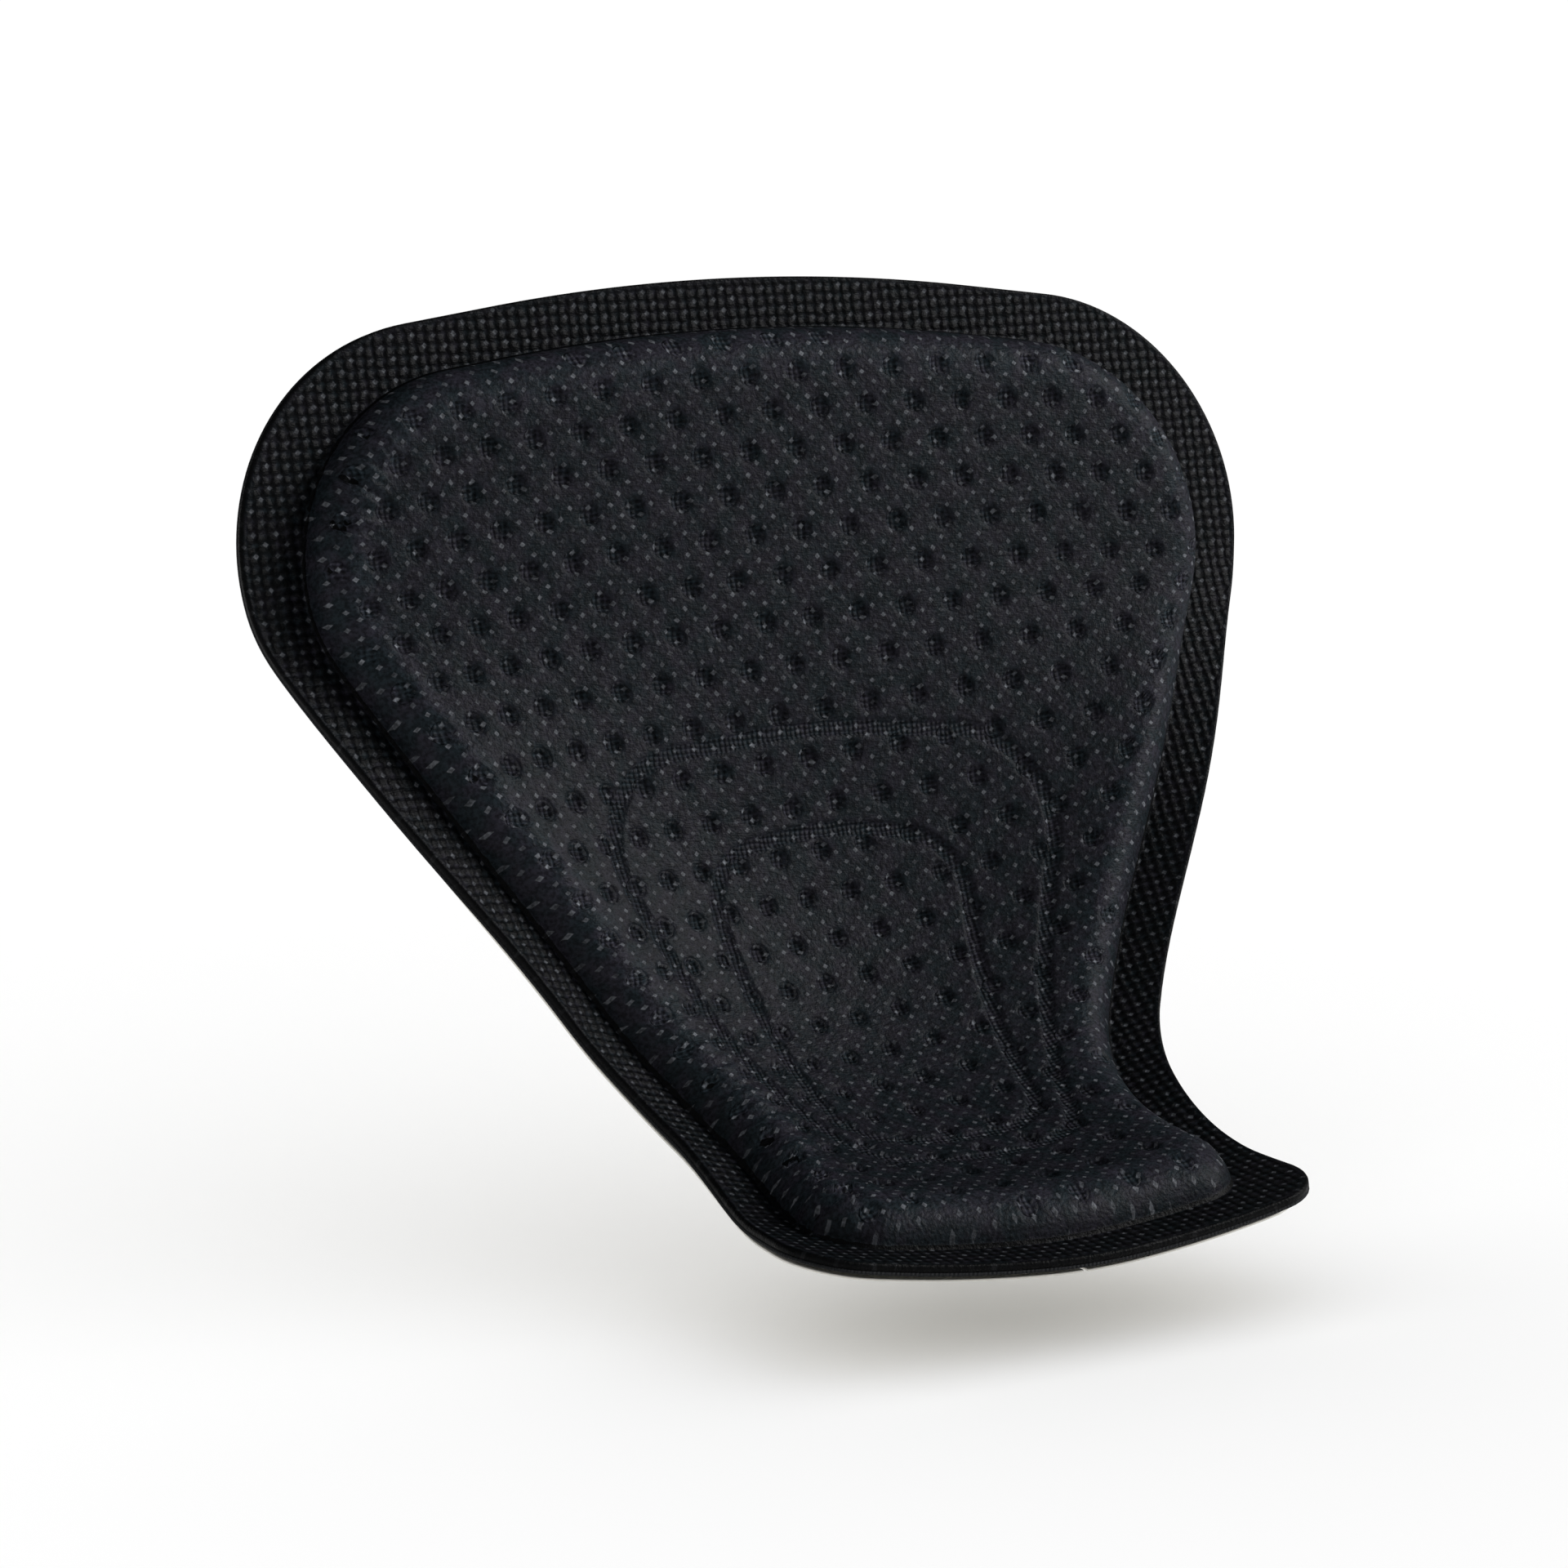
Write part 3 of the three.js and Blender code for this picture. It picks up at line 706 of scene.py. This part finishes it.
# ---- Adhesive sheet -------------------------------------------------------------------------
# A milky double-sided tape laminated to the base cloth and cut a little short of its edge, so
# that no tack shows. It is bared when the two halves of the liner are pulled off.
adhesive_inset = 1.8
adhesive_top, adhesive_bottom = -0.1, -0.4
tape_rim_points = 400
tape_edge_round = 0.05


def tape_front_at(u, v, d):
    return adhesive_top - tape_edge_round * (d < 1.9)


def tape_back_at(u, v, d):
    return adhesive_bottom + tape_edge_round * (d < 1.9)


tape_insets = [1.8, 1.95, 2.6, 3.6, 5.2, 7.5, 10]
tape_front = disc(tape_insets, tape_rim_points, tape_front_at, (5,))
tape_back = disc(tape_insets, tape_rim_points, tape_back_at, (5,))
tape_uv, tape_h, tape_faces = closed(tape_front, tape_back, tape_rim_points)
tape = pressed_piece(
    "adhesive_tape", tape_uv, tape_h, tape_faces, "pad", "adhesive_sheet"
)
milky, tree, skin = node_tree("milky_adhesive")
flat = add(tree, "ShaderNodeAttribute", {"attribute_name": "flat_mm"}).outputs["Vector"]
blotch = add(tree, "ShaderNodeTexNoise", Vector=flat, Scale=0.25, Detail=3.0).outputs["Fac"]
bubbles = add(tree, "ShaderNodeTexVoronoi", Vector=flat, Scale=0.9).outputs["Distance"]
glue_colour = two_tones(tree, blotch, (0.52, 0.50, 0.42), (0.70, 0.68, 0.60))
tree.links.new(glue_colour, skin.inputs["Base Color"])
glue_height = maths(tree, "MULTIPLY_ADD", bubbles, 0.3, blotch)
glue_bump = add(tree, "ShaderNodeBump", Strength=0.25, Distance=0.0002, Height=glue_height)
tree.links.new(glue_bump.outputs[0], skin.inputs["Normal"])
tree.links.new(ramp(tree, blotch, 0.3, 0.7, 0.22, 0.4), skin.inputs["Roughness"])
tape.data.materials.append(milky)
2 * right_half(pad_corners, adhesive_inset)[:, 0].max() * 0.001
flat_area(pad_corners, adhesive_inset) * 1e-6

# ---- Release liner --------------------------------------------------------------------------
# Two halves of siliconed paper over the adhesive, slit down the middle and cut a little larger
# than the tape, so that a fingernail finds an edge to lift. Each half peels off by itself.
liner_inset = 1.0
liner_top, liner_bottom = -0.5, -0.7
half_slit = 0.25
liner_length = 115.5


def liner_half(side):
    """One half of the liner: rows that run from the slit out to the edge."""
    line = right_half(pad_corners, liner_inset)
    length = np.concatenate([[0], np.cumsum(np.linalg.norm(np.diff(line, axis=0), axis=1))])
    rows, columns = 150, 40
    at = np.linspace(0, length[-1], rows)
    edge_u, edge_v = np.interp(at, length, line[:, 0]), np.interp(at, length, line[:, 1])
    slit_v = np.linspace(line[0, 1], line[-1, 1], rows)
    slit_v[1:-1] = 0.5 * slit_v[1:-1] + 0.5 * np.clip(edge_v[1:-1], slit_v[1], slit_v[-2])
    slit_v = np.sort(slit_v)
    share = np.linspace(0, 1, columns) ** 0.9
    u = half_slit + (np.maximum(edge_u, half_slit + 0.02) - half_slit)[:, None] * share
    v = slit_v[:, None] * (1 - share) + edge_v[:, None] * share
    uv = np.stack([side * u.ravel(), v.ravel()], axis=1)
    faces = []
    for r in range(rows - 1):
        for c in range(columns - 1):
            a = r * columns + c
            faces.append((a, a + 1, a + columns + 1, a + columns))
    count = len(uv)
    rim = [c for c in range(columns)]
    rim += [r * columns + columns - 1 for r in range(1, rows)]
    rim += [(rows - 1) * columns + c for c in range(columns - 2, -1, -1)]
    rim += [r * columns for r in range(rows - 2, 0, -1)]
    both = faces + [tuple(count + i for i in reversed(f)) for f in faces]
    both += [(a, count + a, count + b, b) for a, b in zip(rim, rim[1:] + rim[:1])]
    if side < 0:
        both = [tuple(reversed(f)) for f in both]
    heights = np.concatenate([np.full(count, liner_top), np.full(count, liner_bottom)])
    return np.concatenate([uv, uv]), heights, both


paper, tree, skin = node_tree("siliconed_paper")
flat = add(tree, "ShaderNodeAttribute", {"attribute_name": "flat_mm"}).outputs["Vector"]
fibre_way = add(
    tree, "ShaderNodeVectorMath", {"operation": "MULTIPLY"}, _0=flat, _1=(3.0, 0.7, 1.0)
)
fibres = add(tree, "ShaderNodeTexNoise", Vector=fibre_way.outputs[0], Scale=1.2, Detail=5.0)
fibres = fibres.outputs["Fac"]
paper_colour = two_tones(tree, fibres, (0.70, 0.68, 0.61), (0.84, 0.82, 0.76))
tree.links.new(paper_colour, skin.inputs["Base Color"])
paper_bump = add(tree, "ShaderNodeBump", Strength=0.15, Distance=0.0001, Height=fibres)
tree.links.new(paper_bump.outputs[0], skin.inputs["Normal"])
tree.links.new(ramp(tree, fibres, 0.3, 0.7, 0.30, 0.42), skin.inputs["Roughness"])
skin.inputs["Coat Weight"].default_value = 0.25
skin.inputs["Coat Roughness"].default_value = 0.25
half_area = (flat_area(pad_corners, liner_inset) / 2 - half_slit * liner_length) * 1e-6
half_width = (right_half(pad_corners, liner_inset)[:, 0].max() - half_slit) * 0.001
for side, word in ((1, "right"), (-1, "left")):
    half_uv, half_h, half_faces = liner_half(side)
    half = pressed_piece(
        f"release_liner_{word}",
        half_uv,
        half_h,
        half_faces,
        f"liner_{word}_half",
        f"liner_{word}",
    )
    half.data.materials.append(paper)

# ---- Floor, light and camera ----------------------------------------------------------------
# A plain white sweep just under the pad, lit from overhead. The pad has a soft key that grazes it
# from the upper right and a weak broad fill, and is seen on its wearing side from a little above.
pad_low = cad_low.z
floor_size, floor_drop = 3.0, 0.007
sweep_mesh = bpy.data.meshes.new("floor")
floor_z = pad_low - floor_drop
half_floor = floor_size / 2
sweep_mesh.from_pydata(
    [(-half_floor, -half_floor, floor_z), (half_floor, -half_floor, floor_z),
     (half_floor, half_floor, floor_z), (-half_floor, half_floor, floor_z)],
    [],
    [(0, 1, 2, 3)],
)
floor = bpy.data.objects.new("floor", sweep_mesh)
bpy.context.scene.collection.objects.link(floor)
white, tree, skin = node_tree("white_sweep")
skin.inputs["Base Color"].default_value = (0.9, 0.9, 0.9, 1)
skin.inputs["Roughness"].default_value = 0.9
skin.inputs["Specular IOR Level"].default_value = 0.0
floor.data.materials.append(white)

world = bpy.data.worlds.new("studio")
bpy.context.scene.world = world
world.use_nodes = True
wash = world.node_tree.nodes["Background"]
wash.inputs[0].default_value = (1, 1, 1, 1)
ray = world.node_tree.nodes.new("ShaderNodeLightPath")
level = world.node_tree.nodes.new("ShaderNodeMapRange")
world_on_pad, world_in_view = 0.075, 1.05
level.inputs["To Min"].default_value = world_on_pad
level.inputs["To Max"].default_value = world_in_view
world.node_tree.links.new(ray.outputs["Is Camera Ray"], level.inputs["Value"])
world.node_tree.links.new(level.outputs["Result"], wash.inputs["Strength"])
bpy.context.scene.view_settings.view_transform = "Standard"


def soft_sun(name, towards, spread, strength):
    """A broad light from the direction `towards`, as from a large softbox far off."""
    lamp = bpy.data.lights.new(name, "SUN")
    lamp.angle = math.radians(spread)
    lamp.energy = strength
    holder = bpy.data.objects.new(name, lamp)
    bpy.context.scene.collection.objects.link(holder)
    holder.rotation_mode = "QUATERNION"
    holder.rotation_quaternion = Vector(towards).to_track_quat("Z", "Y")
    return holder


azimuth, elevation = math.radians(-31.08), math.radians(9.51)
level_out = math.cos(elevation)
back = Vector(
    (math.sin(azimuth) * level_out, -math.cos(azimuth) * level_out, math.sin(elevation))
)
right = Vector((math.cos(azimuth), math.sin(azimuth), 0))
up = back.cross(right)
aim = Vector((0, -0.015355, -0.035902)) + Vector(place)
overhead = soft_sun("overhead", (0, 0, 1), 150, 3.3)
key = soft_sun("key", right * 0.86 + up * 0.5 - back * 0.03, 26, 3.2)
front = soft_sun("front", up * 0.5 + back * 0.7 - right * 0.45, 80, 0.65)
only_floor = bpy.data.collections.new("the_floor")
only_floor.objects.link(floor)
overhead.light_linking.receiver_collection = only_floor
off_floor = bpy.data.collections.new("all_but_the_floor")
off_floor.objects.link(floor)
off_floor.collection_objects[0].light_linking.link_state = "EXCLUDE"
for lamp in (key, front):
    lamp.light_linking.receiver_collection = off_floor

camera_data = bpy.data.cameras.new("camera")
sensor_width, width_to_distance = 36, 1920 / 6574
camera_data.sensor_width = sensor_width
camera_data.lens = sensor_width / width_to_distance
camera_data.clip_start, camera_data.clip_end = 0.01, 20
camera = bpy.data.objects.new("camera", camera_data)
bpy.context.scene.collection.objects.link(camera)
camera.location = aim + right * -0.0023 + up * -0.01206 + back * 0.503
camera.rotation_mode = "QUATERNION"
camera.rotation_quaternion = (-back).to_track_quat("-Z", "Y")
bpy.context.scene.camera = camera
